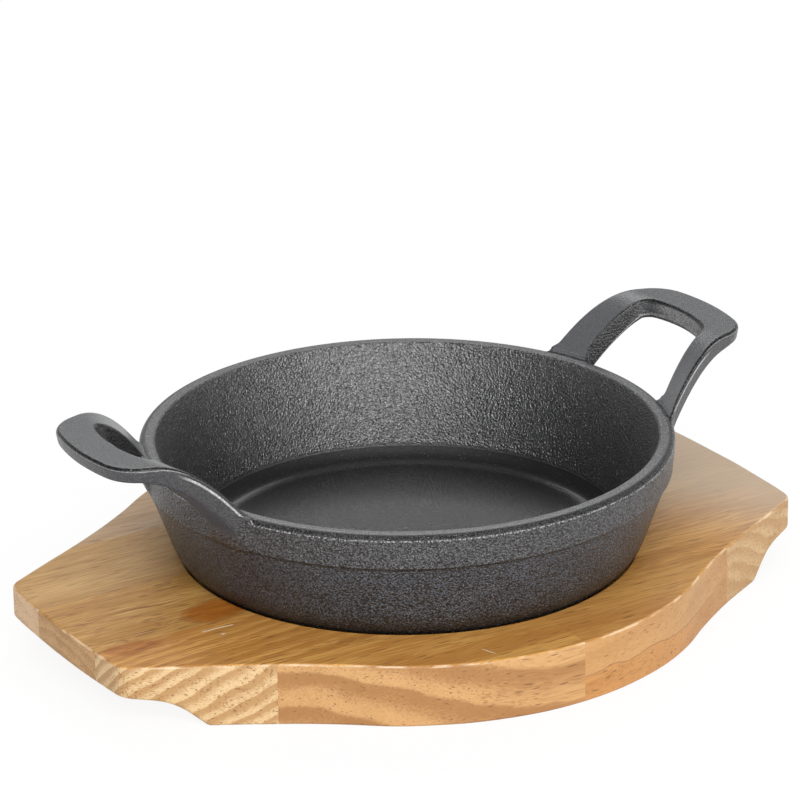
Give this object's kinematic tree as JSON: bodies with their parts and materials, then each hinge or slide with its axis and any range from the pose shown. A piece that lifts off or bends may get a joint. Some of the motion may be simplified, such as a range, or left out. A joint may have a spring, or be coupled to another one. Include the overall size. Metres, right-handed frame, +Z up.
{
  "type": "serving pan",
  "caption": "Round cast-iron serving pan with loop handles, resting in the shallow recess of a shaped wooden board.",
  "frame": {"origin": "middle of the board's underside, on the pan's axis", "axes": "+X along the board's grain and through both pan handles, +Z up, out of the pan's mouth"},
  "size_m": [0.228, 0.1756, 0.0701],
  "materials": {
    "iron": "seasoned, finely pebbled, semi-matt",
    "wood": "oiled, satin"
  },
  "bodies": {
    "board": {"front_stave_left": "wood", "front_stave_right": "wood", "inner_front_stave": "wood", "middle_stave": "wood", "inner_back_stave": "wood", "back_stave": "wood"},
    "pan": {"pan": "iron"}
  },
  "joints": [
    {"name": "pan_lift", "type": "slide", "parent": "board", "child": "pan", "axis": [0, 0, 1], "range_m": [0, 0.08]}
  ]
}
